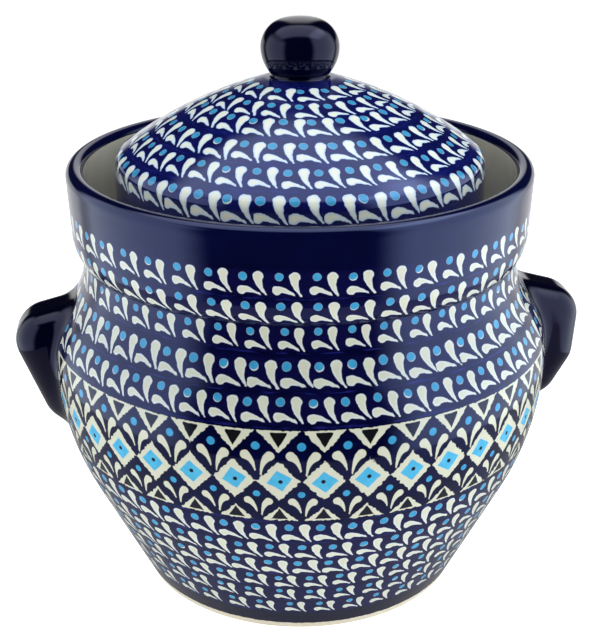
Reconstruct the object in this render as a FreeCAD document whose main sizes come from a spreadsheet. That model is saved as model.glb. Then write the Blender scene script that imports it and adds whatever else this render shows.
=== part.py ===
import FreeCAD, Part
import Sketcher
import os

# Water seal pickle jar of glazed stoneware, in millimetres. The origin is the centre of the foot, on the
# surface that the jar stands on, with +Z up and the two handles on +X and -X.

# Driving sizes. A rise is measured up from the feature that carries the piece.
SIZES = {
    # Foot and floor of the crock
    "foot_radius": 86.7,
    "foot_ring_width": 8.0,
    "foot_recess": 2.5,
    "foot_round": 1.2,
    "floor_thickness": 8.5,
    "floor_margin": 2.0,
    "wall": 8.0,
    # Belly and neck of the crock
    "belly_bulge": 18.0,
    "belly_height": 125.0,
    "belly_turn": 64.0,
    "neck_radius": 112.5,
    "neck_height": 180.0,
    # Water channel and inner mouth
    "seat_step": 4.0,
    "channel_floor": 8.0,
    "channel_gap": 10.5,
    "channel_round": 3.0,
    "mouth_wall": 7.0,
    "mouth_rise": 32.0,
    "throat_round": 6.0,
    # Collar, the outer wall of the water channel
    "collar_wall": 7.2,
    "collar_rise": 47.2,
    "tuck_depth": 5.1,
    "tuck_rise": 13.0,
    "rim_flare": 6.4,
    "lip_thickness": 9.0,
    "sweep_width": 4.5,
    "sweep_rise": 7.0,
    # Lid
    "lid_wall": 7.0,
    "lid_clearance": 4.5,
    "skirt_edge": 1.5,
    "skirt_draft": 0.9,
    "skirt_rise": 42.0,
    "shoulder_round": 8.0,
    "inner_round": 5.0,
    "dome_rise": 42.7,
    "dome_curve": 242.0,
    "crown_radius": 16.5,
    "vent_radius": 4.0,
    # Knob
    "knob_foot_margin": 1.0,
    "knob_neck_radius": 14.8,
    "knob_neck_rise": 1.5,
    "knob_radius": 19.7,
    "knob_waist_rise": 14.4,
    "knob_cap_radius": 8.0,
    "knob_rise": 29.0,
    # Handles
    "lug_reach": 21.2,
    "lug_root_depth": 8.0,
    "lug_neck_gap": 10.0,
    "lug_flare": 12.0,
    "lug_corner": 17.0,
    "lug_corner_drop": 34.5,
    "lug_toe": 19.0,
    "lug_toe_inset": 4.5,
    "lug_depth": 84.0,
    "lug_top_thickness": 44.0,
    "lug_toe_thickness": 30.0,
    "lug_edge": 11.0,
    # Weight stones
    "stone_play": 5.0,
    "stone_thickness": 16.0,
    "stone_gap": 3.0,
    "stone_edge": 3.0,
    "stone_hole_radius": 8.0,
    "stone_hole_inset": 32.0,
    # Slip layer between luted pieces
    "slip_gap": 0.2,
}

doc = FreeCAD.newDocument("pickle_jar")
sheet = doc.addObject("Spreadsheet::Sheet", "sizes")
for row, (alias, plain_number) in enumerate(SIZES.items(), start=1):
    sheet.set("A%d" % row, alias)
    sheet.set("B%d" % row, str(plain_number))
    sheet.setAlias("B%d" % row, alias)
doc.recompute()


class Size:
    """A length: its present value, and the sheet expression that a dimension is bound to."""

    def __init__(self, text, value):
        self.text = text
        self.value = value

    def __add__(self, other):
        return Size("(%s + %s)" % (self.text, other.text), self.value + other.value)

    def __sub__(self, other):
        return Size("(%s - %s)" % (self.text, other.text), self.value - other.value)

    def half(self):
        return Size("(%s / 2)" % self.text, self.value / 2)


def size(alias):
    return Size("sizes." + alias, float(sheet.get(alias)))


def least(first, second):
    return Size("min(%s; %s)" % (first.text, second.text), min(first.value, second.value))


# Radii and heights that several pieces share
slip = size("slip_gap")
wall = size("wall")
foot_radius = size("foot_radius")
neck_radius = size("neck_radius")
neck_height = size("neck_height")
belly_radius = neck_radius + size("belly_bulge")
belly_height = size("belly_height")
seat_radius = neck_radius - size("collar_wall")
channel_height = neck_height + size("seat_step")
skirt_radius = seat_radius - size("channel_gap")
skirt_bore = skirt_radius - size("lid_wall")
mouth_radius = skirt_bore - size("lid_clearance")
mouth_bore = mouth_radius - size("mouth_wall")
floor_height = size("foot_recess") + size("floor_thickness")
floor_flat = foot_radius - wall - size("floor_margin")
crown_height = channel_height + size("skirt_rise") + size("dome_rise")


# Bodies, sketches and outlines

START, END, CENTRE = 1, 2, 3

NO_SPREAD = Size("0", 0.0)

# Height of an arc over its chord, as a share of the chord: the first guess that an arc is drawn with
QUARTER = 0.207
HALF = 0.5
GENTLE = 0.06
FIRM = 0.12


def new_body(label):
    body = doc.addObject("PartDesign::Body", label)
    body.Label = label
    return body


def origin_plane(body, role):
    return next(plane for plane in body.Origin.OriginFeatures if plane.Role == role)


def new_sketch(body, name, role):
    sketch = body.newObject("Sketcher::SketchObject", name)
    sketch.AttachmentSupport = [(origin_plane(body, role), "")]
    sketch.MapMode = "FlatFace"
    return sketch


def guess(length):
    """The present value of a Size, or a plain number as it is."""
    return length.value if isinstance(length, Size) else float(length)


def bind(sketch, kind, *entries):
    """Adds a dimension whose last entry is a Size, bound to the sheet."""
    *places, length = entries
    index = sketch.addConstraint(Sketcher.Constraint(kind, *places, length.value))
    sketch.setExpression("Constraints[%d]" % index, length.text)


def place_point(sketch, index, end, corner):
    """Holds a point at each coordinate that is a Size or zero. Any other number is a guess, left free."""
    for kind, axis, length in (("DistanceX", -2, corner[0]), ("DistanceY", -1, corner[1])):
        if isinstance(length, Size):
            bind(sketch, kind, -1, START, index, end, length)
        elif length == 0:
            sketch.addConstraint(Sketcher.Constraint("PointOnObject", index, end, axis))


def add_step(sketch, start, end, bow):
    """Adds a line, or an arc that bows to the right of its way, and tells its first and last ends."""
    if not bow:
        return sketch.addGeometry(Part.LineSegment(start, end)), START, END
    along = end - start
    middle = (start + end) * 0.5 + FreeCAD.Vector(along.y, -along.x, 0) * bow
    if bow > 0:
        return sketch.addGeometry(Part.Arc(start, middle, end)), START, END
    return sketch.addGeometry(Part.Arc(end, middle, start)), END, START


def draw_outline(sketch, steps):
    """Draws a closed outline, counterclockwise. A step is the corner that it leads to and its rules.

    bow: it is an arc, drawn first with this height over its chord. smooth: it runs on from the step
    before. upright, level: its way at that end. radius, centre: the arc's own. share_centre, parallel:
    the earlier step that it follows.
    """
    corners = [FreeCAD.Vector(guess(x), guess(y), 0) for (x, y), rules in steps]
    drawn = []
    for number, (corner, rules) in enumerate(steps):
        drawn.append(add_step(sketch, corners[number - 1], corners[number], rules.get("bow", 0)))
    for number, (corner, rules) in enumerate(steps):
        index, first, last = drawn[number]
        earlier, _, earlier_last = drawn[number - 1]
        ends = {START: first, END: last}
        joint = "Tangent" if rules.get("smooth") else "Coincident"
        sketch.addConstraint(Sketcher.Constraint(joint, earlier, earlier_last, index, first))
        place_point(sketch, index, last, corner)
        for rule, kind in (("upright", "Horizontal"), ("level", "Vertical")):
            if rule in rules:
                sketch.addConstraint(Sketcher.Constraint(kind, index, CENTRE, index, ends[rules[rule]]))
        if "radius" in rules:
            bind(sketch, "Radius", index, rules["radius"])
        if "centre" in rules:
            place_point(sketch, index, CENTRE, rules["centre"])
        if "share_centre" in rules:
            other = drawn[rules["share_centre"]][0]
            sketch.addConstraint(Sketcher.Constraint("Coincident", other, CENTRE, index, CENTRE))
        if "parallel" in rules:
            sketch.addConstraint(Sketcher.Constraint("Parallel", drawn[rules["parallel"]][0], index))
    doc.recompute()


def draw_circle(sketch, centre, radius):
    middle = FreeCAD.Vector(guess(centre[0]), guess(centre[1]), 0)
    index = sketch.addGeometry(Part.Circle(middle, FreeCAD.Vector(0, 0, 1), radius.value))
    place_point(sketch, index, CENTRE, centre)
    bind(sketch, "Radius", index, radius)
    doc.recompute()


def turn(body, kind, name, sketch):
    """A full turn of an outline about the upright axis, added to the body or cut from it."""
    feature = body.newObject(kind, name)
    feature.Profile = sketch
    feature.ReferenceAxis = (sketch, ["V_Axis"])
    feature.Angle = 360
    doc.recompute()


def pad(body, name, sketch, length, side="One side"):
    feature = body.newObject("PartDesign::Pad", name)
    feature.Profile = sketch
    feature.SideType = side
    feature.setExpression("Length", length.text)
    doc.recompute()
    return feature


def cut_through(body, name, sketch):
    feature = body.newObject("PartDesign::Pocket", name)
    feature.Profile = sketch
    feature.Type = "ThroughAll"
    feature.SideType = "Symmetric"
    doc.recompute()
    return feature


def mirror(body, name, original, role):
    feature = body.newObject("PartDesign::Mirrored", name)
    feature.Originals = [original]
    feature.MirrorPlane = (origin_plane(body, role), [""])
    body.Tip = feature
    doc.recompute()
    return feature


def round_edges(body, name, base, wanted, radius):
    """Rounds those edges of a feature that wanted() picks."""
    edges = ["Edge%d" % place for place, edge in enumerate(base.Shape.Edges, start=1) if wanted(edge)]
    feature = body.newObject("PartDesign::Fillet", name)
    feature.Base = (base, edges)
    feature.setExpression("Radius", radius.text)
    doc.recompute()


# Crock


def outer_wall(spread):
    """Steps of the crock's outside from above the foot to the neck, each radius larger by spread."""
    cone_top = belly_height - size("belly_turn")
    cone_guess = guess((foot_radius + belly_radius).half()) + guess(wall)
    shoulder_guess = guess((belly_radius + neck_radius).half())
    shoulder_height = (belly_height + neck_height).half()
    return [
        ((cone_guess, cone_top), {}),
        ((belly_radius + spread, belly_height), {"bow": GENTLE, "smooth": True, "upright": END}),
        ((shoulder_guess, shoulder_height), {"bow": GENTLE, "upright": START}),
        ((neck_radius + spread, neck_height), {"bow": -GENTLE, "smooth": True, "upright": END}),
    ]


def make_crock_body():
    body = new_body("crock_body")
    sketch = new_sketch(body, "crock_outline", "XZ_Plane")
    ring_bore = foot_radius - size("foot_ring_width")
    foot_round = size("foot_round")
    channel_round = size("channel_round")
    throat_round = size("throat_round")
    ceiling = neck_height - size("channel_floor")
    lip_height = channel_height + size("mouth_rise") - size("mouth_wall").half()
    inner_belly = belly_radius - wall
    cone, belly, shoulder, neck = range(3, 7)
    inner_shoulder = (guess(neck_radius), guess((belly_height + neck_height).half()))
    inner_cone_top = (guess((floor_flat + inner_belly).half()) + guess(wall), guess(belly_height.half()))
    inner_cone_foot = (guess(floor_flat + wall), guess(floor_height + wall))
    draw_outline(sketch, [
        ((ring_bore, 0), {}),
        ((foot_radius - foot_round, 0), {}),
        ((foot_radius, foot_round), {"bow": QUARTER, "level": START}),
        *outer_wall(NO_SPREAD),
        ((seat_radius, neck_height), {}),
        ((seat_radius, channel_height), {}),
        ((mouth_radius + channel_round, channel_height), {}),
        ((mouth_radius, channel_height + channel_round), {"bow": -QUARTER, "level": START}),
        ((mouth_radius, lip_height), {}),
        ((mouth_bore, lip_height), {"bow": HALF, "upright": START}),
        ((mouth_bore, ceiling + throat_round), {}),
        ((mouth_bore + throat_round, ceiling), {"bow": QUARTER, "level": END}),
        ((guess(seat_radius), ceiling), {}),
        (inner_shoulder, {"bow": GENTLE, "share_centre": neck}),
        ((inner_belly, belly_height), {"bow": -GENTLE, "smooth": True, "share_centre": shoulder}),
        (inner_cone_top, {"bow": -GENTLE, "share_centre": belly}),
        (inner_cone_foot, {"smooth": True, "parallel": cone}),
        ((floor_flat, floor_height), {"bow": -FIRM, "smooth": True, "level": END}),
        ((0, floor_height), {}),
        ((0, size("foot_recess")), {}),
        ((ring_bore, size("foot_recess")), {}),
    ])
    turn(body, "PartDesign::Revolution", "crock_turn", sketch)


def make_gutter_collar():
    body = new_body("gutter_collar")
    sketch = new_sketch(body, "collar_outline", "XZ_Plane")
    rim_radius = neck_radius + size("rim_flare")
    lip_bore = rim_radius - size("lip_thickness")
    lip_height = neck_height + size("collar_rise") - size("lip_thickness").half()
    waist = (neck_radius + size("tuck_depth"), neck_height + size("tuck_rise"))
    bore = seat_radius + slip
    sweep_top = (seat_radius + size("sweep_width"), channel_height + size("sweep_rise"))
    draw_outline(sketch, [
        ((bore, neck_height), {}),
        ((neck_radius, neck_height), {}),
        (waist, {"bow": FIRM}),
        ((rim_radius, lip_height), {"smooth": True}),
        ((lip_bore, lip_height), {"bow": HALF, "upright": START}),
        (sweep_top, {}),
        ((bore, channel_height), {"bow": -FIRM, "smooth": True}),
    ])
    turn(body, "PartDesign::Revolution", "collar_turn", sketch)


# Lid


def make_lid_dome():
    body = new_body("lid_dome")
    sketch = new_sketch(body, "lid_outline", "XZ_Plane")
    edge = size("skirt_edge")
    lid_wall = size("lid_wall")
    crown_radius = size("crown_radius")
    shoulder_radius = skirt_radius - size("skirt_draft")
    shoulder_height = channel_height + size("skirt_rise")
    shoulder_round = size("shoulder_round")
    shoulder_end = (guess(shoulder_radius - shoulder_round), guess(shoulder_height + shoulder_round))
    inner_corner = (guess(shoulder_radius - lid_wall), guess(shoulder_height - lid_wall))
    inner_end = (inner_corner[0] - guess(shoulder_round), inner_corner[1] + guess(shoulder_round))
    skirt, dome = 2, 4
    draw_outline(sketch, [
        ((skirt_radius - edge, channel_height), {}),
        ((skirt_radius, channel_height + edge), {"bow": QUARTER, "level": START}),
        ((shoulder_radius, shoulder_height), {}),
        (shoulder_end, {"bow": FIRM, "smooth": True, "radius": shoulder_round}),
        ((crown_radius, crown_height), {"bow": GENTLE, "smooth": True, "radius": size("dome_curve")}),
        ((0, crown_height), {}),
        ((0, crown_height - lid_wall), {}),
        ((guess(crown_radius), crown_height - lid_wall), {}),
        (inner_end, {"bow": -GENTLE, "share_centre": dome, "radius": size("dome_curve") - lid_wall}),
        (inner_corner, {"bow": -FIRM, "smooth": True, "radius": size("inner_round")}),
        ((skirt_bore, channel_height + edge), {"smooth": True, "parallel": skirt}),
        ((skirt_bore + edge, channel_height), {"bow": QUARTER, "level": END}),
    ])
    turn(body, "PartDesign::Revolution", "lid_turn", sketch)
    vents = new_sketch(body, "vent_outline", "XZ_Plane")
    draw_circle(vents, (0, channel_height), size("vent_radius"))
    cut_through(body, "vent_notches", vents)


def make_lid_knob():
    body = new_body("lid_knob")
    sketch = new_sketch(body, "knob_outline", "XZ_Plane")
    foot = size("crown_radius") - size("knob_foot_margin")
    neck = (size("knob_neck_radius"), crown_height + size("knob_neck_rise"))
    waist = (size("knob_radius"), crown_height + size("knob_waist_rise"))
    top = crown_height + size("knob_rise")
    cap_guess = guess(top - size("knob_neck_rise"))
    draw_outline(sketch, [
        ((foot, crown_height), {}),
        (neck, {"bow": -FIRM, "upright": END}),
        (waist, {"bow": FIRM, "upright": END}),
        ((size("knob_cap_radius"), cap_guess), {"bow": QUARTER, "upright": START}),
        ((0, top), {"bow": GENTLE, "smooth": True, "level": END}),
        ((0, crown_height), {}),
    ])
    turn(body, "PartDesign::Revolution", "knob_turn", sketch)


# Handles


def turn_round(body, degrees):
    body.Placement = FreeCAD.Placement(FreeCAD.Vector(), FreeCAD.Rotation(FreeCAD.Vector(0, 0, 1), degrees))


def make_handle(label, degrees):
    """An ear-shaped lug, cut to the belly that it is luted onto. Made on +X, and turned round to -X."""
    body = new_body(label)
    sketch = new_sketch(body, label + "_outline", "XZ_Plane")
    root = neck_radius - size("lug_root_depth")
    top = neck_height - size("lug_neck_gap")
    bottom = top - size("lug_depth")
    corner = size("lug_corner")
    toe = size("lug_toe")
    flare = size("lug_flare")
    corner_centre = (belly_radius + size("lug_reach") - corner, top - size("lug_corner_drop"))
    toe_centre = (belly_radius - size("lug_toe_inset"), guess(bottom + toe))
    toe_start = (guess(toe_centre[0]), bottom)
    toe_end = (guess(toe_centre[0] + toe), guess(bottom + toe))
    corner_start = (guess(corner_centre[0] + corner), guess(corner_centre[1]))
    corner_end = (guess(corner_centre[0]), guess(corner_centre[1] + corner))
    flare_start = (guess(neck_radius + flare.half()), guess(top - flare))
    draw_outline(sketch, [
        ((root, bottom), {}),
        (toe_start, {}),
        (toe_end, {"bow": QUARTER, "smooth": True, "radius": toe, "centre": toe_centre}),
        (corner_start, {"smooth": True}),
        (corner_end, {"bow": QUARTER, "smooth": True, "radius": corner, "centre": corner_centre}),
        (flare_start, {"smooth": True}),
        ((neck_radius, top), {"bow": -QUARTER, "smooth": True, "radius": flare, "upright": END}),
        ((root, top), {}),
    ])
    # The blank is wider than the lug by this much on each side, for the taper to be cut from it.
    trim = corner
    blank_half = size("lug_top_thickness").half() + trim
    pad(body, label + "_blank", sketch, blank_half + blank_half, "Symmetric")
    side = new_sketch(body, label + "_side", "YZ_Plane")
    draw_outline(side, [
        ((size("lug_toe_thickness").half(), bottom), {}),
        ((blank_half, bottom), {}),
        ((blank_half, top), {}),
        ((size("lug_top_thickness").half(), top), {}),
    ])
    cut = cut_through(body, label + "_side_cut", side)
    sides = mirror(body, label + "_sides", cut, "XZ_Plane")

    def on_outline(edge):
        first, last = edge.ParameterRange
        middle = edge.valueAt((first + last) / 2)
        return abs(middle.y) > trim.value / 2 and middle.x > root.value + trim.value / 2

    round_edges(body, label + "_rounds", sides, on_outline, size("lug_edge"))
    belly = new_sketch(body, label + "_seat", "XZ_Plane")
    foot_round = size("foot_round")
    draw_outline(belly, [
        ((0, foot_round), {}),
        ((foot_radius + slip, foot_round), {}),
        *outer_wall(slip),
        ((0, neck_height), {}),
    ])
    turn(body, "PartDesign::Groove", label + "_belly_cut", belly)
    turn_round(body, degrees)


# Weight stones


def make_stone(label, degrees):
    """A half-moon weight on the crock's floor. Made behind the middle, and turned round to the front."""
    body = new_body(label)
    radius = least(mouth_bore, floor_flat) - size("stone_play")
    straight = size("stone_gap").half()
    outline = new_sketch(body, label + "_outline", "XY_Plane")
    outline.setExpression("AttachmentOffset.Base.z", floor_height.text)
    draw_outline(outline, [
        ((radius.value, straight), {}),
        ((-radius.value, straight), {"bow": HALF, "radius": radius, "centre": (0, 0)}),
    ])
    blank = pad(body, label + "_blank", outline, size("stone_thickness"))
    round_edges(body, label + "_rounds", blank, lambda edge: True, size("stone_edge"))
    hole = new_sketch(body, label + "_hole_outline", "XY_Plane")
    draw_circle(hole, (0, straight + size("stone_hole_inset")), size("stone_hole_radius"))
    cut_through(body, label + "_hole", hole)
    turn_round(body, degrees)


make_crock_body()
make_gutter_collar()
make_handle("right_handle", 0)
make_handle("left_handle", 180)
make_lid_dome()
make_lid_knob()
make_stone("weight_stone_rear", 0)
make_stone("weight_stone_front", 180)
doc.recompute()

for item in doc.Objects:
    if "Invalid" in item.State or "Error" in item.State:
        raise RuntimeError("%s is %s" % (item.Label, item.State))

pieces = [item for item in doc.Objects if item.TypeId == "PartDesign::Body"]
for piece in pieces:
    if piece.Shape.isNull() or not piece.Shape.isValid() or len(piece.Shape.Solids) != 1:
        raise RuntimeError("%s is not one valid solid" % piece.Label)

os.makedirs("parts", exist_ok=True)
for piece in pieces:
    piece.Shape.exportStep("parts/%s.step" % piece.Label)
    box = piece.Shape.optimalBoundingBox()
    print("%-20s volume %9.0f  x %7.1f to %6.1f  y %7.1f to %6.1f  z %6.1f to %6.1f" % (
        piece.Label, piece.Shape.Volume, box.XMin, box.XMax, box.YMin, box.YMax, box.ZMin, box.ZMax))
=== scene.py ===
import bpy
import math
import numpy as np
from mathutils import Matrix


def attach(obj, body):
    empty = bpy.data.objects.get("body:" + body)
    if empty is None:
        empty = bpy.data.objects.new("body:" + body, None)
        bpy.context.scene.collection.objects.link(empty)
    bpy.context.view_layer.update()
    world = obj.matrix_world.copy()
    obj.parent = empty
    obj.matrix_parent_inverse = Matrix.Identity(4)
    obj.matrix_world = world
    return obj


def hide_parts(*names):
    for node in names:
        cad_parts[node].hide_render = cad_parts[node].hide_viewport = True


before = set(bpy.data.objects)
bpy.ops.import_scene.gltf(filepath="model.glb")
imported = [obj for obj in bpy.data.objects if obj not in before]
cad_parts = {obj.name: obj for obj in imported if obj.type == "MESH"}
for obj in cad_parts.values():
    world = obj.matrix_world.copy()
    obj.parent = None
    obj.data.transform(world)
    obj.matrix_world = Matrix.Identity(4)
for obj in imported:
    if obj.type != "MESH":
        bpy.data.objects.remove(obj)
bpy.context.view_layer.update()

# Sizes of the jar in millimetres, as the solids have them. Profiles are lists of (radius, height).
MM = 0.001
FOOT = (86.7, 1.2)
FOOT_RING_BORE = 78.7
FOOT_RECESS = 2.5
FLAT_RING = 30.0
BELLY = (130.5, 125.0)
CONE_TOP = 61.0
NECK = (112.5, 180.0)
WALL = 8.0
SEAT_RADIUS = 105.3
CHANNEL_HEIGHT = 184.0
CHANNEL_ROUND = 3.0
MOUTH_RADIUS = 83.3
MOUTH_BORE = 76.3
MOUTH_LIP = 212.5
CEILING = 172.0
THROAT_ROUND = 6.0
FLOOR = (76.7, 11.0)
FLOOR_ROUND = [(9.1, 6.6), (5.6, 2.4), (2.4, 0.5)]
INNER_CONE_FOOT = (88.4, 23.0)
COLLAR_BORE = 105.5
COLLAR_WAIST = (117.6, 193.0)
COLLAR_RIM = (118.9, 222.7)
LIP_ROUND = 4.5
SWEEP_TOP = (109.8, 191.0)
SWEEP = [(109.0, 188.9), (107.8, 186.6), (106.6, 185.1)]
SKIRT_FOOT = (94.8, 185.5)
SKIRT_TOP = (93.9, 226.0)
SKIRT_EDGE = 1.5
SKIRT_CORNER = (0.4, 0.5)
LID_WALL = 7.0
SHOULDER_ROUND = 8.0
SHOULDER_INSIDE = [(1.6, 0.5), (0.9, -3.5)]
DOME_CURVE = 242.0
INNER_DOME_END = math.radians(1.5)
CROWN = (16.5, 268.7)
CROWN_RING = 8.0
SIDES = 192
HALVINGS = 80
# A length beyond both ends of every profile
OUT = 1e6

# Camera of the photograph: distance from the jar's axis, height, tilt, lens, and the jar's turn to it
CAMERA_REACH = 657.75
CAMERA_HEIGHT = 408.4
CAMERA_TILT = 22.53
CAMERA_FOCUS_PX = 1322.85
PHOTO_HEIGHT_PX = 643
CAMERA_YAW = math.radians(7)


# Profiles


def line(start, end, steps):
    """Points after the start on a straight run."""
    return [(start[0] + (end[0] - start[0]) * i / steps, start[1] + (end[1] - start[1]) * i / steps)
            for i in range(1, steps + 1)]


def arc(centre, radius, start, end, steps):
    """Points after the start on an arc between two angles."""
    angles = [start + (end - start) * i / steps for i in range(1, steps + 1)]
    return [(centre[0] + radius * math.cos(a), centre[1] + radius * math.sin(a)) for a in angles]


def angle_of(centre, point):
    return math.atan2(point[1] - centre[1], point[0] - centre[0])


def solve(function, low, high):
    """The place between low and high where a rising function is zero."""
    for _ in range(HALVINGS):
        middle = (low + high) / 2
        if function(middle) > 0:
            high = middle
        else:
            low = middle
    return low


def belly_curve():
    """Radius of the belly's arc, whose lower end runs on into the cone from the foot."""
    drop = BELLY[1] - CONE_TOP

    def slack(radius):
        cone = BELLY[0] - radius + math.sqrt(radius ** 2 - drop ** 2)
        return (cone - BELLY[0] + radius) * (cone - FOOT[0]) - drop * (CONE_TOP - FOOT[1])

    return solve(slack, drop + 1, 20 * drop)


def crock_wall(foot, inset=0.0):
    """The crock's wall from a foot to the neck: its outer face, or a face inside it."""
    radius = belly_curve()
    low = -math.asin((BELLY[1] - CONE_TOP) / radius)
    belly_centre = (BELLY[0] - radius, BELLY[1])
    rise = NECK[1] - BELLY[1]
    bulge = BELLY[0] - NECK[0]
    sweep = (bulge ** 2 + rise ** 2) / (4 * bulge)
    turn = math.asin(rise / 2 / sweep)
    cone_top = arc(belly_centre, radius - inset, low, low, 1)[0]
    points = [foot] + line(foot, cone_top, 16)
    points += arc(belly_centre, radius - inset, low, 0, 28)
    points += arc((BELLY[0] - sweep, BELLY[1]), sweep - inset, 0, turn, 14)
    points += arc((NECK[0] + sweep, NECK[1]), sweep + inset, math.pi + turn, math.pi, 14)
    return points


def crock_profile():
    """The whole crock, from the middle of its underside over the outside and the mouth to its floor, and
    the numbers of the first and the last point of its outside."""
    ring_edge = (FOOT[0] - FOOT[1], 0.0)
    under = [(0.0, FOOT_RECESS), (FOOT_RING_BORE - FLAT_RING, FOOT_RECESS), (FOOT_RING_BORE, FOOT_RECESS),
             (FOOT_RING_BORE, 0.0), ring_edge]
    under += arc((ring_edge[0], FOOT[1]), FOOT[1], -math.pi / 2, 0, 5)
    outside = crock_wall(FOOT)
    channel_end = (MOUTH_RADIUS + CHANNEL_ROUND, CHANNEL_HEIGHT)
    top = line(NECK, (SEAT_RADIUS, NECK[1]), 2)
    top += line(top[-1], (SEAT_RADIUS, CHANNEL_HEIGHT), 2)
    top += line(top[-1], channel_end, 5)
    top += arc((channel_end[0], CHANNEL_HEIGHT + CHANNEL_ROUND), CHANNEL_ROUND, -math.pi / 2, -math.pi, 6)
    top += line(top[-1], (MOUTH_RADIUS, MOUTH_LIP), 6)
    lip = (MOUTH_RADIUS - MOUTH_BORE) / 2
    top += arc((MOUTH_RADIUS - lip, MOUTH_LIP), lip, 0, math.pi, 14)
    top += line(top[-1], (MOUTH_BORE, CEILING + THROAT_ROUND), 8)
    top += arc((MOUTH_BORE + THROAT_ROUND, CEILING + THROAT_ROUND), THROAT_ROUND, math.pi, 1.5 * math.pi, 8)
    inner = [point for point in reversed(crock_wall(INNER_CONE_FOOT, WALL)) if point[1] < CEILING]
    inner += [(FLOOR[0] + out, FLOOR[1] + up) for out, up in FLOOR_ROUND]
    inner += [FLOOR, (FLOOR[0] - FLAT_RING, FLOOR[1]), (0.0, FLOOR[1])]
    first = len(under) - 1
    return under[:-1] + outside + top + inner, first, first + len(outside) - 1


def collar_profile():
    """The collar, from its outer foot over the lip and down its inside to its foot again, and the numbers
    of the first and the last point of its outside."""
    way = (COLLAR_RIM[0] - COLLAR_WAIST[0], COLLAR_RIM[1] - COLLAR_WAIST[1])
    length = math.hypot(*way)
    normal = (-way[1] / length, way[0] / length)
    chord = (NECK[0] - COLLAR_WAIST[0], NECK[1] - COLLAR_WAIST[1])
    radius = (chord[0] ** 2 + chord[1] ** 2) / (2 * (chord[0] * normal[0] + chord[1] * normal[1]))
    centre = (COLLAR_WAIST[0] + normal[0] * radius, COLLAR_WAIST[1] + normal[1] * radius)
    outside = [NECK] + arc(centre, radius, angle_of(centre, NECK), angle_of(centre, COLLAR_WAIST), 12)
    outside += line(COLLAR_WAIST, COLLAR_RIM, 18)
    outside += arc((COLLAR_RIM[0] - LIP_ROUND, COLLAR_RIM[1]), LIP_ROUND, 0, math.pi, 20)
    inside = line(outside[-1], SWEEP_TOP, 10)
    inside += SWEEP + [(COLLAR_BORE, CHANNEL_HEIGHT), (COLLAR_BORE, NECK[1]), NECK]
    return outside + inside, 0, len(outside) - 1


def lid_profile():
    """The lid, from the middle of its hollow down to the skirt's edge and up the outside to the crown, and
    the numbers of the first and the last point of its outside below the crown."""
    way = (SKIRT_TOP[0] - SKIRT_FOOT[0], SKIRT_TOP[1] - SKIRT_FOOT[1])
    length = math.hypot(*way)
    inward = (-way[1] / length, way[0] / length)
    shoulder = (SKIRT_TOP[0] + inward[0] * SHOULDER_ROUND, SKIRT_TOP[1] + inward[1] * SHOULDER_ROUND)
    # The dome's centre is its radius away from the crown, and nearer to the shoulder by the shoulder's.
    gap = math.dist(shoulder, CROWN)
    near = DOME_CURVE - SHOULDER_ROUND
    along = (near ** 2 - DOME_CURVE ** 2 + gap ** 2) / (2 * gap)
    aside = math.sqrt(near ** 2 - along ** 2)
    way = ((CROWN[0] - shoulder[0]) / gap, (CROWN[1] - shoulder[1]) / gap)
    dome = (shoulder[0] + way[0] * along - way[1] * aside, shoulder[1] + way[1] * along + way[0] * aside)
    dome_start = angle_of(dome, shoulder)
    dome_end = angle_of(dome, CROWN)
    outside = [SKIRT_FOOT] + line(SKIRT_FOOT, SKIRT_TOP, 14)
    outside += arc(shoulder, SHOULDER_ROUND, angle_of(shoulder, SKIRT_TOP), dome_start, 12)
    outside += arc(dome, DOME_CURVE, dome_start, dome_end, 36)
    last = len(outside) - 1
    outside += [(CROWN_RING, CROWN[1]), (0.0, CROWN[1])]
    bore = SKIRT_FOOT[0] - LID_WALL
    inside = [(0.0, CROWN[1] - LID_WALL), (CROWN_RING, CROWN[1] - LID_WALL)]
    inside += arc(dome, DOME_CURVE - LID_WALL, dome_end, dome_start + INNER_DOME_END, 20)
    inside += [(bore - inset, SKIRT_TOP[1] + up) for inset, up in SHOULDER_INSIDE]
    inside += line(inside[-1], (bore, SKIRT_FOOT[1]), 8)
    inside += [(bore + SKIRT_EDGE, CHANNEL_HEIGHT), (SKIRT_FOOT[0] - SKIRT_EDGE, CHANNEL_HEIGHT),
               (SKIRT_FOOT[0] - SKIRT_CORNER[0], CHANNEL_HEIGHT + SKIRT_CORNER[1])]
    return inside + outside, len(inside), len(inside) + last


# Meshes

# Bake map: four large fields, two by two, above a narrow strip
BAKE_MARGIN = 0.01
FIELD_PITCH = (0.5, 0.44)
FIELD_SIZE = (0.48, 0.42)
FIELD_LOW = 0.13
STRIP_SIZE = (0.98, 0.1)
SHARP_EDGE = math.radians(40)


def new_object(name, data):
    thing = bpy.data.objects.new(name, data)
    bpy.context.collection.objects.link(thing)
    return thing


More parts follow.
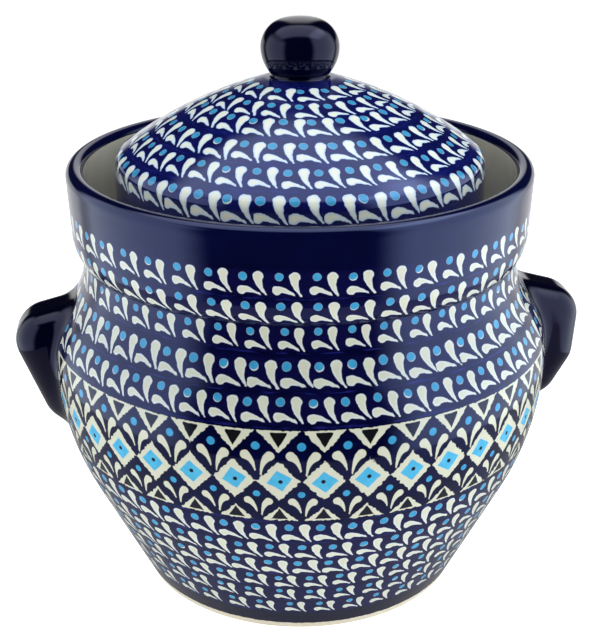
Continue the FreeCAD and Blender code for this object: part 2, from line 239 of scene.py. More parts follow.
def lathe(name, profile, first, last):
    """A turned mesh. Its along attribute is the length on the profile from the point first, and its bake
    map gives the ornament between the points first and last four large fields, the rest a narrow strip."""
    lengths = [0.0]
    for start, end in zip(profile, profile[1:]):
        lengths.append(lengths[-1] + math.dist(start, end))
    zero = lengths[first]
    lengths = [length - zero for length in lengths]
    points, rings, along = [], [], []
    for (radius, height), length in zip(profile, lengths):
        count = SIDES if radius > 0 else 1
        rings.append(list(range(len(points), len(points) + count)))
        for side in range(count):
            turn = 2 * math.pi * side / SIDES
            points.append((radius * math.sin(turn) * MM, -radius * math.cos(turn) * MM, height * MM))
            along.append(length)
    faces, fields = [], []
    quarter = SIDES // 4
    for row in range(len(profile) - 1):
        lower, upper = rings[row], rings[row + 1]
        for side in range(SIDES):
            after = (side + 1) % SIDES
            corners = [(lower[side % len(lower)], 0, 0), (lower[after % len(lower)], 1, 0),
                       (upper[after % len(upper)], 1, 1), (upper[side % len(upper)], 0, 1)]
            if len(lower) == 1:
                corners = [corners[0], corners[2], corners[3]]
            if len(upper) == 1:
                corners = corners[:3]
            faces.append([corner[0] for corner in corners])
            for _, right, up in corners:
                if first <= row < last:
                    field = side // quarter
                    across = (side % quarter + right) / quarter
                    tall = lengths[row + up] / lengths[last]
                    fields.append((FIELD_PITCH[0] * (field % 2) + BAKE_MARGIN + FIELD_SIZE[0] * across,
                                   FIELD_PITCH[1] * (field // 2) + FIELD_LOW + FIELD_SIZE[1] * tall))
                else:
                    tall = (row + up) / len(profile)
                    fields.append((BAKE_MARGIN + STRIP_SIZE[0] * (side + right) / SIDES,
                                   BAKE_MARGIN + STRIP_SIZE[1] * tall))
    mesh = bpy.data.meshes.new(name)
    mesh.from_pydata(points, [], faces)
    mesh.attributes.new("along", "FLOAT", "POINT").data.foreach_set("value", along)
    layer = mesh.uv_layers.new(name="OFBake")
    layer.data.foreach_set("uv", [value for field in fields for value in field])
    mesh.shade_smooth()
    mesh.set_sharp_from_angle(angle=SHARP_EDGE)
    return new_object(name, mesh)


def radius_at(profile, first, length):
    """Radius of a profile at a length along it from the point first."""
    for start, end in zip(profile[first:], profile[first + 1:]):
        step = math.dist(start, end)
        if length <= step:
            return start[0] + (end[0] - start[0]) * length / step
        length -= step
    return profile[-1][0]


# Handles: lugs whose outline is a rounded polygon of (distance from the axis, height), joined to the
# belly by a fillet. Each was shaped by hand and has its own outline.
RIGHT_LUG = [(100.0, 103.5), (127.0, 103.5), (134.0, 117.0), (134.6, 135.5), (117.0, 140.2), (100.0, 141.0)]
LEFT_LUG = [(100.0, 102.5), (121.5, 102.5), (133.2, 134.4), (114.0, 139.2), (100.0, 140.0)]
LUG_ROUND = 17.0
LUG_EDGE = 15.0
LUG_BOTTOM = 86.0
LUG_TOP = 170.0
LUG_TOE_HALF = 15.0
LUG_TOP_HALF = 22.0
LUG_FILLET = 6.0
# The rays that find a lug: where they start, how far they spread, how many in a row, and their length
LUG_HEART = (80.0, 0.0, 126.0)
LUG_SPREAD = (0.9, 1.5)
LUG_RAYS = 130
LUG_RAY_LENGTH = 90.0
LUG_HALVINGS = 40
# A radial distance to the belly, times this, is about the distance square to it.
BELLY_SLOPE = 0.95
# Where the fillet is thinner than its margin it dips under the belly, so that no edge shows, and faces
# with nothing thicker than the least are left out.
FILLET_MARGIN = 0.25
FILLET_DIP = 0.6
FILLET_LEAST = 0.03
FAR_AWAY = 1e9


def lug_distance(corners, x, y, z):
    """Distance to the lug, without its fillet, for arrays of points."""
    outside = np.full(x.shape, -FAR_AWAY)
    nearest = np.full(x.shape, FAR_AWAY)
    for (ax, az), (bx, bz) in zip(corners, corners[1:] + corners[:1]):
        length = math.hypot(bx - ax, bz - az)
        ux, uz = (bx - ax) / length, (bz - az) / length
        outside = np.maximum(outside, (x - ax) * uz - (z - az) * ux)
        share = np.clip((x - ax) * ux + (z - az) * uz, 0, length)
        nearest = np.minimum(nearest, np.hypot(x - ax - share * ux, z - az - share * uz))
    outline = np.where(outside > 0, nearest, -nearest) - LUG_ROUND
    half = LUG_TOE_HALF + (LUG_TOP_HALF - LUG_TOE_HALF) * (z - LUG_BOTTOM) / (LUG_TOP - LUG_BOTTOM)
    first = outline + LUG_EDGE
    second = np.abs(y) - half + LUG_EDGE
    inner = np.minimum(np.maximum(first, second), 0)
    return inner + np.hypot(np.maximum(first, 0), np.maximum(second, 0)) - LUG_EDGE


def make_handle(name, belly, corners, side):
    """Rays from a point inside the crock find the lug and the fillet round its root."""
    heights = np.array([point[1] for point in belly])
    radii = np.array([point[0] for point in belly])

    def belly_distance(x, y, z):
        return (np.hypot(x, y) - np.interp(z, heights, radii)) * BELLY_SLOPE

    def whole(x, y, z):
        lug = lug_distance(corners, x, y, z)
        wall = belly_distance(x, y, z)
        blend = np.maximum(LUG_FILLET - np.abs(lug - wall), 0) / LUG_FILLET
        return np.minimum(lug, wall) - blend ** 2 * LUG_FILLET / 4

    grid = np.linspace(-1, 1, LUG_RAYS)
    across, upward = np.meshgrid(grid * LUG_SPREAD[0], grid * LUG_SPREAD[1])
    spread = np.sqrt(1 + across ** 2 + upward ** 2)
    way = (1 / spread, across / spread, upward / spread)
    low = np.zeros(across.shape)
    high = np.full(across.shape, LUG_RAY_LENGTH)
    for _ in range(LUG_HALVINGS):
        middle = (low + high) / 2
        spot = [LUG_HEART[i] + way[i] * middle for i in range(3)]
        inside = whole(*spot) < 0
        low = np.where(inside, middle, low)
        high = np.where(inside, high, middle)
    x, y, z = (LUG_HEART[i] + way[i] * low for i in range(3))
    proud = belly_distance(x, y, z)
    shrink = np.clip(1 - proud / FILLET_MARGIN, 0, 1) * FILLET_DIP / np.hypot(x, y)
    x = x * (1 - shrink)
    y = y * (1 - shrink)
    keep = proud > FILLET_LEAST
    numbers = -np.ones(keep.shape, dtype=int)
    points, faces = [], []

    def number(row, column):
        if numbers[row, column] < 0:
            numbers[row, column] = len(points)
            points.append((side * x[row, column] * MM, side * y[row, column] * MM, z[row, column] * MM))
        return int(numbers[row, column])

    for row in range(LUG_RAYS - 1):
        for column in range(LUG_RAYS - 1):
            if keep[row:row + 2, column:column + 2].any():
                faces.append([number(row, column), number(row, column + 1),
                              number(row + 1, column + 1), number(row + 1, column)])
    mesh = bpy.data.meshes.new(name)
    mesh.from_pydata(points, [], faces)
    mesh.shade_smooth()
    return new_object(name, mesh)


# Material nodes


class Field:
    """A number that varies over a surface, a light or the sky: an output in a tree of nodes."""

    def __init__(self, tree, socket):
        self.tree = tree
        self.socket = socket

    def __add__(self, other):
        return calc(self.tree, "ADD", self, other)

    def __sub__(self, other):
        return calc(self.tree, "SUBTRACT", self, other)

    def __mul__(self, other):
        return calc(self.tree, "MULTIPLY", self, other)

    def __truediv__(self, other):
        return calc(self.tree, "DIVIDE", self, other)

    def abs(self):
        return calc(self.tree, "ABSOLUTE", self)

    def floor(self):
        return calc(self.tree, "FLOOR", self)

    def lower(self, other):
        return calc(self.tree, "MINIMUM", self, other)

    def upper(self, other):
        return calc(self.tree, "MAXIMUM", self, other)

    def above(self, other):
        return calc(self.tree, "GREATER_THAN", self, other)


def calc(tree, operation, *values):
    node = tree.nodes.new("ShaderNodeMath")
    node.operation = operation
    for socket, value in zip(node.inputs, values):
        plug(tree, socket, value)
    return Field(tree, node.outputs[0])


def plug(tree, socket, value):
    if isinstance(value, Field):
        tree.links.new(value.socket, socket)
    else:
        socket.default_value = value


def far(x, y):
    """Length of a vector of two fields."""
    return calc(x.tree, "SQRT", x * x + y * y)


def cover(distance, soft=0.18):
    """One inside a shape and zero outside it, over a soft edge."""
    node = distance.tree.nodes.new("ShaderNodeMapRange")
    node.interpolation_type = "SMOOTHSTEP"
    plug(distance.tree, node.inputs["Value"], distance)
    node.inputs["From Min"].default_value = soft
    node.inputs["From Max"].default_value = -soft
    return Field(distance.tree, node.outputs["Result"])


def mix(tree, share, first, second):
    """Colour between two colours, which are tuples or fields."""
    node = tree.nodes.new("ShaderNodeMix")
    node.data_type = "RGBA"
    plug(tree, node.inputs["Factor"], share)
    for socket, colour in ((node.inputs[6], first), (node.inputs[7], second)):
        plug(tree, socket, colour if isinstance(colour, Field) else (*colour, 1.0))
    return Field(tree, node.outputs[2])


def noise(tree, vector, scale, detail):
    node = tree.nodes.new("ShaderNodeTexNoise")
    node.inputs["Scale"].default_value = scale
    node.inputs["Detail"].default_value = detail
    plug(tree, node.inputs["Vector"], vector)
    return Field(tree, node.outputs["Fac"])


def flat_noise(tree, across, upward, scale, detail=3.0):
    """Noise over two fields, for what runs round the jar."""
    return noise(tree, vector_of(tree, across, upward, 0.0), scale, detail)


def luck_of(tree, across, upward):
    """Three numbers between zero and one that differ from stamp to stamp."""
    node = tree.nodes.new("ShaderNodeTexWhiteNoise")
    node.noise_dimensions = "2D"
    plug(tree, node.inputs["Vector"], vector_of(tree, across, upward, 0.0))
    return parts_of(tree, Field(tree, node.outputs["Color"]))


def below(first, second):
    """One where the first field is less than the second, and zero elsewhere."""
    return calc(first.tree, "LESS_THAN", first, second)


def vector_of(tree, *parts):
    node = tree.nodes.new("ShaderNodeCombineXYZ")
    for socket, part in zip(node.inputs, parts):
        plug(tree, socket, part)
    return Field(tree, node.outputs[0])


def parts_of(tree, vector):
    node = tree.nodes.new("ShaderNodeSeparateXYZ")
    plug(tree, node.inputs[0], vector)
    return [Field(tree, socket) for socket in node.outputs]


def place(tree):
    """Position in the jar's frame, in metres."""
    node = tree.nodes.new("ShaderNodeTexCoord")
    return Field(tree, node.outputs["Object"])


def new_material(name):
    material = bpy.data.materials.new(name)
    material.use_nodes = True
    tree = material.node_tree
    shader = tree.nodes["Principled BSDF"]
    return material, tree, shader


def bump(tree, shader, height, strength, distance):
    node = tree.nodes.new("ShaderNodeBump")
    node.inputs["Strength"].default_value = strength
    node.inputs["Distance"].default_value = distance
    plug(tree, node.inputs["Height"], height)
    tree.links.new(node.outputs["Normal"], shader.inputs["Normal"])


# Gloss of the plain and of the patterned glaze
PLAIN_TINT = (0.60, 0.55, 0.88, 1.0)
PLAIN_IOR = 1.47
PATTERN_TINT = (0.48, 0.55, 1.0, 1.0)
PATTERN_IOR = 1.66

# Colours, linear
COBALT_BLACK = (0.0004, 0.0005, 0.0060)
COBALT_DEEP = (0.0005, 0.0008, 0.0090)
COBALT_LIGHT = (0.0016, 0.0024, 0.0400)
COBALT_BAND = (0.0015, 0.0030, 0.0380)
COBALT_LID_DEEP = (0.0010, 0.0020, 0.0280)
COBALT_LID = (0.0060, 0.0100, 0.1300)
COBALT_THIN = (0.0160, 0.0200, 0.1900)
COBALT_ROW = (0.0060, 0.0050, 0.0600)
COBALT_BASE = (0.0030, 0.0030, 0.0110)
LEAF = (0.650, 0.640, 0.480)
LEAF_THIN = (0.550, 0.550, 0.430)
LEAF_LID = (0.840, 0.830, 0.670)
LEAF_LID_THIN = (0.740, 0.735, 0.600)
SKY = (0.100, 0.480, 0.680)
SKY_DEEP = (0.040, 0.330, 0.570)
DOT = (0.060, 0.360, 0.590)
DOT_DEEP = (0.022, 0.220, 0.430)
PALE = (0.620, 0.660, 0.630)
PALE_LID = (0.580, 0.690, 0.820)
BLACK = (0.006, 0.006, 0.007)
CREAM_GLAZE = (0.680, 0.640, 0.500)
CREAM_GLAZE_DEEP = (0.520, 0.480, 0.360)
BARE_CLAY = (0.740, 0.680, 0.520)
BARE_CLAY_DEEP = (0.580, 0.510, 0.370)
GROG = (0.250, 0.180, 0.110)

# One printed sprig, in millimetres from its dot: two leaves, each with its head, first direction, length,
# bend, head radius and taper
DOT_RADIUS = 2.0
SPRIG_MIDDLE = 4.0
SPRIG_DROP = 4.0
LEAF_TIP = 0.35
TALL_LEAF = ((7.2, 0.0), -101, 8.4, 4.8, 2.6, 1.15)
LOW_LEAF = ((-0.9, -6.8), 40, 4.9, -6.4, 2.2, 0.95)
# How far a stamp may turn, and be off its place to the side and up
STAMP_LEAN = 0.17
STAMP_SHIFT = (0.9, 0.8)

# The band: half width and height of its figures, and the distance that the two stand for. The two cores and
# the lower triangle start this far from their border.
DIAMOND = (9.9, 10.8, 7.3)
HEART = (6.2, 5.9, 4.2)
HEART_SHIFT = (1.2, 1.0)
SEED_RADIUS = 1.05
SEED_SHIFT = (1.6, 1.2)
TOP_TRIANGLE = (9.9, 10.6, 7.3)
TOP_CORE = (4.4, 7.2, 3.7)
TOP_CORE_START = 1.0
TOP_CORE_HALF = 3.8
BOTTOM_TRIANGLE = (8.4, 8.4, 5.9)
BOTTOM_START = 1.2
BOTTOM_CORE = (3.9, 6.4, 3.3)
BOTTOM_CORE_START = 2.1
# The twin sprig between the diamonds, as the leaves above, and its places over and under the diamonds' row
TWIN_RIGHT = ((6.3, -5.0), 207, 7.9, 6.8, 2.4, 1.15)
TWIN_LEFT = ((-4.8, -4.8), -27, 7.5, -4.7, 2.35, 1.15)
TWIN_TOP_DROP = 7.6
TWIN_LOW_DROP = 7.4
TWIN_LOW_SCALE = 0.86
BAND_SEED = 3.7


def leaf(x, y, shape):
    """Distance to a leaf: a round head that narrows to a tip and bends aside on its way."""
    (head_x, head_y), direction, length, bend, radius, taper = shape
    tree = x.tree
    cosine = math.cos(math.radians(direction))
    sine = math.sin(math.radians(direction))
    right = x - head_x
    up = y - head_y
    ahead = right * cosine + up * sine
    aside = up * cosine - right * sine
    share = (ahead / length).upper(0.0).lower(1.0)
    width = calc(tree, "POWER", calc(tree, "SUBTRACT", 1.0, share), taper) * (radius - LEAF_TIP) + LEAF_TIP
    beyond = ahead.lower(0.0) + (ahead - length).upper(0.0)
    slope = share * (2 * bend / length)
    off_spine = (aside - share * share * bend) / calc(tree, "SQRT", slope * slope + 1.0)
    return far(beyond, off_spine) - width


def wedge(right, up, shape):
    """Distance to the slanting sides of a diamond or a triangle."""
    half_width, height, slope = shape
    return (right.abs() / half_width + up / height - 1.0) * slope


def stepped(tree, rows, value):
    """A value for each row, constant between the heights where rows start."""
    total = calc(tree, "ADD", value(rows[0]), 0.0)
    for before, row in zip(rows, rows[1:]):
        change = value(row) - value(before)
        if change:
            total = calc(tree, "MULTIPLY_ADD", row["test"], change, total)
    return total


def glaze_material(name, profile, first, rows, zones):
    """Cobalt glaze with rows of sprigs, and the plain zones of the same piece.

    A row has the length along the profile where it starts, the place of its dots, its count round the
    jar, its size and the angle of one dot from the front. A count of zero leaves the row plain.
    """
    material, tree, shader = new_material(name)
    position = place(tree)
    x, y, _ = parts_of(tree, position)
    angle = calc(tree, "ARCTAN2", x, calc(tree, "MULTIPLY", y, -1.0)) + CAMERA_YAW
    radius = far(x, y) / MM
    node = tree.nodes.new("ShaderNodeAttribute")
    node.attribute_name = "along"
    along = Field(tree, node.outputs["Fac"])
    wobble = noise(tree, position, scale=420.0, detail=1.0) - 0.5
    table = []
    for start, dots, count, scale, lead in rows:
        reference = radius_at(profile, first, max(dots - SPRIG_DROP * scale, 0.0))
        middle = math.radians(lead) + SPRIG_MIDDLE * scale / reference
        table.append({"test": along.above(start), "from": start, "dots": dots, "count": max(count, 1),
                      "scale": scale, "middle": middle, "shown": 1.0 if count else 0.0})
    count = stepped(tree, table, lambda row: row["count"])
    scale = stepped(tree, table, lambda row: row["scale"])
    dots = stepped(tree, table, lambda row: row["dots"])
    middle = stepped(tree, table, lambda row: row["middle"])
    shown = stepped(tree, table, lambda row: row["shown"])
    row_start = stepped(tree, table, lambda row: row["from"])
    turn = (angle - middle) * count / (2 * math.pi) + 0.5
    cell = turn.floor()
    pitch = radius * (2 * math.pi) / count
    right = (turn - cell - 0.5) * pitch / scale
    up = (along - dots) / scale
    # Each stamp is set by hand: a little off its place and turned a little.
    luck_a, luck_b, luck_c = luck_of(tree, cell, dots)
    lean = (luck_c - 0.5) * STAMP_LEAN
    stamp_x = right + (up + SPRIG_DROP) * lean + (luck_a - 0.5) * STAMP_SHIFT[0] + SPRIG_MIDDLE
    stamp_y = up - right * lean + (luck_b - 0.5) * STAMP_SHIFT[1]
    leaves = leaf(stamp_x, stamp_y, TALL_LEAF).lower(leaf(stamp_x, stamp_y, LOW_LEAF)) + wobble * 0.9
    pale_dot = far(stamp_x, stamp_y) - DOT_RADIUS + wobble * 0.6
    # A few dots miss their pale ground by a little.
    miss = (luck_b - 0.6).upper(0.0) * 2.4
    blue_dot = far(stamp_x + miss * (luck_c - 0.5), stamp_y - miss * 0.7) - DOT_RADIUS + wobble * 0.5
    shades = noise(tree, position, scale=60.0, detail=3.0)
    streaks = flat_noise(tree, angle * 3.0, along * 0.16, scale=1.5)
    ground = mix(tree, shades * 1.1 + streaks * 0.9 - 0.55, *zones["ground"])
    # The rows are brushed on one after the other, and the glaze is thinner where they meet.
    brushed = flat_noise(tree, angle * 9.0, along * 0.5, scale=1.3)
    seam = cover((along - row_start).abs() + brushed * 9.0 - 4.3, 0.9)
    ground = mix(tree, seam * 0.7, ground, COBALT_THIN)
    printed = cover((up + 3.5).abs() + brushed * 8.0 - 10.5, 1.5) * shown
    ground = mix(tree, printed * 0.35, ground, COBALT_ROW)
    cream = mix(tree, noise(tree, position, scale=160.0, detail=2.0), *zones["cream"])
    spots = noise(tree, position, scale=230.0, detail=1.0)
    dot_blue = mix(tree, spots, DOT_DEEP, DOT)
    # The cream is paler along the edge of a leaf.
    leaf_cream = mix(tree, cover(leaves + 0.7, 0.5), zones["edge"], cream)
    colour = mix(tree, cover(leaves) * shown, ground, leaf_cream)
    colour = mix(tree, cover(pale_dot) * shown, colour, PALE)
    colour = mix(tree, cover(blue_dot) * cover(pale_dot) * shown, colour, dot_blue)
    if "band" in zones:
        heart_blue = mix(tree, spots, SKY_DEEP, SKY)
        band_place = (angle, along, radius, position)
        colour = diamond_band(tree, zones["band"], band_place, wobble, colour, cream, dot_blue, heart_blue)
    for low, high, deep, light in zones["plain"]:
        inside = along.above(low) * below(along, high)
        colour = mix(tree, inside, colour, mix(tree, shades, deep, light))
    bare = below(along + wobble * 1.2, zones.get("bare_below", -OUT))
    clay = mix(tree, noise(tree, position, scale=300.0, detail=4.0), BARE_CLAY_DEEP, BARE_CLAY)
    plug(tree, shader.inputs["Base Color"], mix(tree, bare, colour, clay))
    plug(tree, shader.inputs["Roughness"], bare * 0.6 + shades * 0.05 + 0.05)
    shader.inputs["IOR"].default_value = PATTERN_IOR
    shader.inputs["Specular Tint"].default_value = PATTERN_TINT
    rings = flat_noise(tree, angle * 0.35, along * 0.05, scale=2.2, detail=1.0)
    swell = noise(tree, position, scale=30.0, detail=1.0)
    bump(tree, shader, rings + swell * 0.7, strength=0.12, distance=0.0012)
    return material


def diamond_band(tree, band, band_place, wobble, colour, cream, dot_blue, heart_blue):
    """Diamonds with a blue heart, triangles along both borders and twin sprigs between."""
    low, high, centre, count, lead = band
    angle, along, radius, position = band_place
    turn = (angle - math.radians(lead)) * (count / (2 * math.pi)) + 0.5
    pitch = radius * (2 * math.pi / count)
    cell = turn.floor()
    right = (turn - cell - 0.5) * pitch
    shifted = turn + 0.5
    twin_right = (shifted - shifted.floor() - 0.5) * pitch
    up = along - centre
    jag = noise(tree, position, scale=620.0, detail=0.0) - 0.5
    luck_a, luck_b, luck_c = luck_of(tree, cell, BAND_SEED)
    diamond = wedge(right, up.abs(), DIAMOND) + jag * 1.7
    lean = luck_c * 0.2 + 0.04
    heart_x = right + up * lean + (luck_a - 0.5) * HEART_SHIFT[0]
    heart_y = up - right * lean + (luck_b - 0.5) * HEART_SHIFT[1]
    heart = wedge(heart_x, heart_y.abs(), HEART) + wobble * 0.7
    seed_x = heart_x + (luck_b - 0.5) * SEED_SHIFT[0]
    seed_y = heart_y + (luck_c - 0.5) * SEED_SHIFT[1]
    seed = far(seed_x, seed_y) - SEED_RADIUS
    top_gap = calc(tree, "SUBTRACT", high, along)
    top = wedge(right, top_gap, TOP_TRIANGLE).upper(top_gap * -1.0) + jag * 1.5
    top_core = wedge(right, top_gap - TOP_CORE_START, TOP_CORE).upper(right.abs() - TOP_CORE_HALF)
    top_core = top_core.upper(top_gap * -1.0 + TOP_CORE_START) + wobble * 0.6
    low_gap = along - low
    bottom = wedge(right, low_gap - BOTTOM_START, BOTTOM_TRIANGLE)
    bottom = bottom.upper(low_gap * -1.0 + BOTTOM_START) + jag * 1.5
    bottom_core = wedge(right, low_gap - BOTTOM_CORE_START, BOTTOM_CORE)
    bottom_core = bottom_core.upper(low_gap * -1.0 + BOTTOM_CORE_START) + wobble * 0.6
    upper_y = along - (high - TWIN_TOP_DROP)
    lower_y = (along - (centre - TWIN_LOW_DROP)) / TWIN_LOW_SCALE
    lower_x = twin_right / TWIN_LOW_SCALE
    upper_twin = leaf(twin_right, upper_y, TWIN_LEFT).lower(leaf(twin_right, upper_y, TWIN_RIGHT))
    lower_twin = leaf(lower_x, lower_y, TWIN_LEFT).lower(leaf(lower_x, lower_y, TWIN_RIGHT))
    twins = upper_twin.lower(lower_twin) + wobble * 0.5
    berry = far(twin_right, upper_y).lower(far(lower_x, lower_y)) - DOT_RADIUS + wobble * 0.4
    creams = diamond.lower(top).lower(bottom).lower(twins)
    inside = along.above(low) * below(along, high)
    colour = mix(tree, cover(creams) * inside, colour, cream)
    colour = mix(tree, cover(heart) * inside, colour, heart_blue)
    colour = mix(tree, cover(seed.lower(top_core).lower(bottom_core)) * inside, colour, BLACK)
    return mix(tree, cover(berry) * inside, colour, dot_blue)


def cobalt_material(name):
    """Plain dark cobalt glaze of the handles and the knob."""
    material, tree, shader = new_material(name)
    position = place(tree)
    shades = noise(tree, position, scale=55.0, detail=3.0)
    plug(tree, shader.inputs["Base Color"], mix(tree, shades, COBALT_BLACK, COBALT_DEEP))
    plug(tree, shader.inputs["Roughness"], shades * 0.06 + 0.05)
    shader.inputs["IOR"].default_value = PLAIN_IOR
    shader.inputs["Specular Tint"].default_value = PLAIN_TINT
    bump(tree, shader, noise(tree, position, scale=35.0, detail=1.0), strength=0.15, distance=0.0012)
    return material


def stone_material(name):
    """Bare fired stoneware with fine grog."""
    material, tree, shader = new_material(name)
    position = place(tree)
    shades = noise(tree, position, scale=40.0, detail=4.0)
    grog = noise(tree, position, scale=900.0, detail=2.0)
    colour = mix(tree, shades, BARE_CLAY_DEEP, BARE_CLAY)
    colour = mix(tree, cover((grog * -1.0 + 0.68) * 8.0, 0.4) * 0.5, colour, GROG)
    plug(tree, shader.inputs["Base Color"], colour)
    plug(tree, shader.inputs["Roughness"], shades * 0.2 + 0.62)
    bump(tree, shader, grog, strength=0.5, distance=0.0006)
    return material


# The jar's pieces
crock_line, crock_first, crock_last = crock_profile()
collar_line, collar_first, collar_last = collar_profile()
lid_line, lid_first, lid_last = lid_profile()

# Lengths along the profiles where the zones meet
GLAZE_LINE = 3.3
BASE_START = 0.3
BASE_END = 13.4
OUTSIDE_END = 191.7
COLLAR_ROWS_END = 30.6
LIP_END = 57.2
SKIRT_START = -1.0

# Rows: length along the profile where it starts, place of the dots, count, size, angle of one dot
CROCK_ROWS = [
    (-OUT, 0.0, 0, 1.0, 0.0),
    (13.9, 22.5, 40, 0.78, -3.2),
    (25.9, 34.7, 42, 0.80, 2.6),
    (38.0, 47.6, 45, 0.88, 2.4),
    (50.9, 61.4, 47, 0.99, -0.5),
    (64.9, 75.0, 49, 0.96, -7.1),
    (78.4, 89.6, 51, 1.03, -2.7),
    (93.4, 118.0, 0, 1.0, 0.0),
    (144.6, 156.5, 53, 1.0, -4.0),
    (160.3, 172.9, 50, 1.08, -2.8),
    (178.4, 188.6, 46, 0.9, -3.7),
]
COLLAR_ROWS = [
    (-OUT, 11.8, 45, 0.98, -4.0),
    (15.6, 26.4, 46, 0.95, -4.4),
    (COLLAR_ROWS_END, 40.0, 0, 1.0, 0.0),
]
LID_ROWS = [
    (-OUT, 20.0, 0, 1.0, 0.0),
    (34.5, 46.6, 37, 1.18, -1.1),
    (51.5, 63.0, 34, 1.02, -4.1),
    (66.8, 79.1, 28, 1.1, 1.4),
    (84.2, 96.3, 22, 1.08, -9.5),
    (99.6, 108.7, 17, 0.98, 0.0),
    (112.2, 121.9, 13, 0.96, -25.0),
    (125.5, 130.0, 0, 1.0, 0.0),
]
# The band: lengths where it starts and ends, place of the diamonds, count, angle of one diamond
BAND = (93.6, 143.8, 118.0, 39, -4.3)

crock = lathe("crock_glazed", crock_line, crock_first, crock_last)
collar = lathe("collar_glazed", collar_line, collar_first, collar_last)
lid = lathe("lid_glazed", lid_line, lid_first, lid_last)
belly = crock_wall(FOOT)
left_handle = make_handle("left_handle_glazed", belly, LEFT_LUG, -1)
right_handle = make_handle("right_handle_glazed", belly, RIGHT_LUG, 1)

crock.data.materials.append(glaze_material("crock_glaze", crock_line, crock_first, CROCK_ROWS, {
    "ground": (COBALT_DEEP, COBALT_LIGHT),
    "cream": (LEAF_THIN, LEAF),
    "edge": PALE,
    "band": BAND,
    "plain": [(BASE_START, BASE_END, COBALT_BASE, COBALT_DEEP),
              (OUTSIDE_END, OUT, CREAM_GLAZE_DEEP, CREAM_GLAZE)],
    "bare_below": GLAZE_LINE,
}))
collar.data.materials.append(glaze_material("collar_glaze", collar_line, collar_first, COLLAR_ROWS, {
    "ground": (COBALT_DEEP, COBALT_LIGHT),
    "cream": (LEAF_THIN, LEAF),
    "edge": PALE,
    "plain": [(COLLAR_ROWS_END, LIP_END, COBALT_DEEP, COBALT_BAND),
              (LIP_END, OUT, CREAM_GLAZE_DEEP, CREAM_GLAZE)],
}))
lid.data.materials.append(glaze_material("lid_glaze", lid_line, lid_first, LID_ROWS, {
    "ground": (COBALT_LID_DEEP, COBALT_LID),
    "cream": (LEAF_LID_THIN, LEAF_LID),
    "edge": PALE_LID,
    "plain": [(-OUT, SKIRT_START, CREAM_GLAZE_DEEP, CREAM_GLAZE)],
}))
cobalt = cobalt_material("cobalt_glaze")
for handle in (left_handle, right_handle):
    handle.data.materials.append(cobalt)

for piece, node, body, slot in (
        (crock, "crock_body", "crock", "patterned_glaze"),
        (collar, "gutter_collar", "crock", "patterned_glaze"),
        (lid, "lid_dome", "lid", "patterned_glaze"),
        (left_handle, "left_handle", "crock", "cobalt_glaze"),
        (right_handle, "right_handle", "crock", "cobalt_glaze")):
    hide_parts(node)
    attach(piece, body)

for node, material in (("lid_knob", cobalt), ("weight_stone_front", stone_material("stone_front_clay")),
                       ("weight_stone_rear", stone_material("stone_rear_clay"))):
    for material_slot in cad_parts[node].material_slots:
        material_slot.material = material


# Stage, light and camera

FLOOR_RADIUS = 9.0
FLOOR_WHITE = 0.9
FLOOR_GLOW = 0.95
TABLE_RADIUS = 0.33
TABLE_WHITE = 0.3
DISC_SIDES = 96
# Share of a light's width within which it has at least half its strength, and half the share that fades
HALF_LIGHT = 0.72
SOFT_EDGE = 0.12
# The white wall behind the jar, as directions seen from it: half its width, the height under which it is as
# wide as the room, how far behind it starts, and its light. The rest of the studio is dark.
WALL_HALF = 0.17
WALL_LOW = 0.06
WALL_BEHIND = 0.62
WALL_LIGHT = 0.95
STUDIO_DARK = 0.012


def white_material(name, white, glow):
    material, _, shader = new_material(name)
    shader.inputs["Base Color"].default_value = (white, white, white, 1.0)
    shader.inputs["Roughness"].default_value = 0.9
    shader.inputs["Specular IOR Level"].default_value = 0.1
    shader.inputs["Emission Color"].default_value = (1.0, 1.0, 1.0, 1.0)
    shader.inputs["Emission Strength"].default_value = glow
    return material


def disc(name, radius, material):
    """A round plate on the ground."""
    turns = [2 * math.pi * side / DISC_SIDES for side in range(DISC_SIDES)]
    mesh = bpy.data.meshes.new(name)
    mesh.from_pydata([(radius * math.cos(turn), radius * math.sin(turn), 0.0) for turn in turns], [],
                     [list(range(DISC_SIDES))])
    mesh.materials.append(material)
    plate = new_object(name, mesh)
    return plate


def soft_box(name, bearing, reach, middle, size, radiance, tint):
    """An upright area light that faces the jar's axis, at a bearing to the right of the camera, in degrees.

    Its light fades towards its edges, and its size is the width and height where it has half its strength.
    """
    lamp = bpy.data.lights.new(name, "AREA")
    lamp.shape = "RECTANGLE"
    lamp.size = size[0] / HALF_LIGHT
    lamp.size_y = size[1] / HALF_LIGHT
    lamp.energy = math.pi * radiance * lamp.size * lamp.size_y
    lamp.color = tint
    lamp.use_nodes = True
    tree = lamp.node_tree
    spot = tree.nodes.new("ShaderNodeNewGeometry").outputs["Parametric"]
    across, upward, _ = parts_of(tree, Field(tree, spot))
    fade_across = cover((across - 0.5).abs() - HALF_LIGHT / 2, SOFT_EDGE)
    fade_upward = cover((upward - 0.5).abs() - HALF_LIGHT / 2, SOFT_EDGE)
    plug(tree, tree.nodes["Emission"].inputs["Strength"], fade_across * fade_upward)
    box = new_object(name, lamp)
    heading = math.radians(bearing) - CAMERA_YAW
    box.location = (reach * math.sin(heading), -reach * math.cos(heading), middle)
    box.rotation_euler = (math.pi / 2, 0.0, heading)
    box.visible_camera = False
    return box


# A white floor, lit from below as on a light table. The glaze mirrors only a small table under the jar and,
# further out, the dark of the studio.
floor = disc("floor", FLOOR_RADIUS, white_material("floor_white", FLOOR_WHITE, FLOOR_GLOW))
floor.visible_glossy = False
table = disc("table", TABLE_RADIUS, white_material("table_white", TABLE_WHITE, 0.0))
table.visible_camera = False
table.visible_diffuse = False
table.visible_shadow = False
table.visible_transmission = False

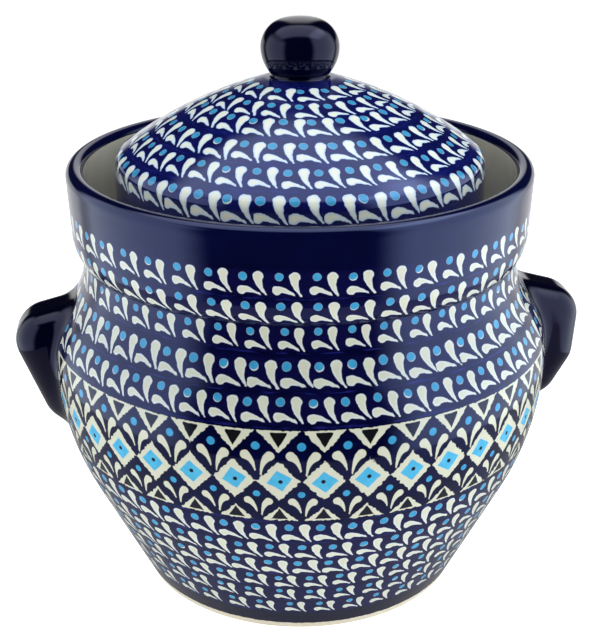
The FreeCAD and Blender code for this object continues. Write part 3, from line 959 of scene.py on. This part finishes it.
soft_box("left_box", bearing=-80, reach=0.42, middle=0.22, size=(0.56, 0.65), radiance=1.45,
         tint=(0.82, 0.91, 1.0))
soft_box("right_box", bearing=79, reach=0.42, middle=0.48, size=(0.68, 1.25), radiance=1.75,
         tint=(0.80, 0.90, 1.0))
# This one lies over the jar and shines down.
top_box = soft_box("top_box", bearing=0, reach=0.04, middle=0.72, size=(1.10, 0.46), radiance=2.0,
                   tint=(0.87, 0.94, 1.0))
top_box.rotation_euler = (0.0, 0.0, -CAMERA_YAW)
# Fill from the front and the back for the colours alone, which the gloss doesn't mirror
for name, bearing, radiance in (("front_fill", 0, 1.7), ("back_fill", 180, 1.4)):
    fill = soft_box(name, bearing, reach=1.0, middle=0.80, size=(0.8, 0.8), radiance=radiance,
                    tint=(0.95, 0.98, 1.0))
    fill.visible_glossy = False

# The studio seen by the glaze: white low behind the jar, a narrow white wall above, and dark elsewhere
world = bpy.data.worlds.new("studio")
bpy.context.scene.world = world
world.use_nodes = True
sky = world.node_tree
background = sky.nodes["Background"]
generated = sky.nodes.new("ShaderNodeTexCoord").outputs["Generated"]
east, north, upward = parts_of(sky, Field(sky, generated))
behind = east * math.sin(CAMERA_YAW) + north * math.cos(CAMERA_YAW)
beside = east * math.cos(CAMERA_YAW) - north * math.sin(CAMERA_YAW)
wall = cover(beside.abs() - WALL_HALF, 0.08).upper(cover(upward - WALL_LOW, 0.06))
backdrop = cover(behind * -1.0 + WALL_BEHIND, 0.1) * wall * WALL_LIGHT
seen_by_camera = Field(sky, sky.nodes.new("ShaderNodeLightPath").outputs["Is Camera Ray"])
plug(sky, background.inputs["Strength"], backdrop.upper(STUDIO_DARK).upper(seen_by_camera))
background.inputs["Color"].default_value = (1.0, 1.0, 1.0, 1.0)

lens = bpy.data.cameras.new("camera")
lens.sensor_fit = "VERTICAL"
lens.sensor_height = 36.0
lens.lens = CAMERA_FOCUS_PX * lens.sensor_height / PHOTO_HEIGHT_PX
camera = new_object("camera", lens)
camera.location = (-CAMERA_REACH * math.sin(CAMERA_YAW) * MM, -CAMERA_REACH * math.cos(CAMERA_YAW) * MM,
                   CAMERA_HEIGHT * MM)
camera.rotation_euler = (math.radians(90 - CAMERA_TILT), 0.0, -CAMERA_YAW)
bpy.context.scene.camera = camera
bpy.context.scene.view_settings.view_transform = "Standard"
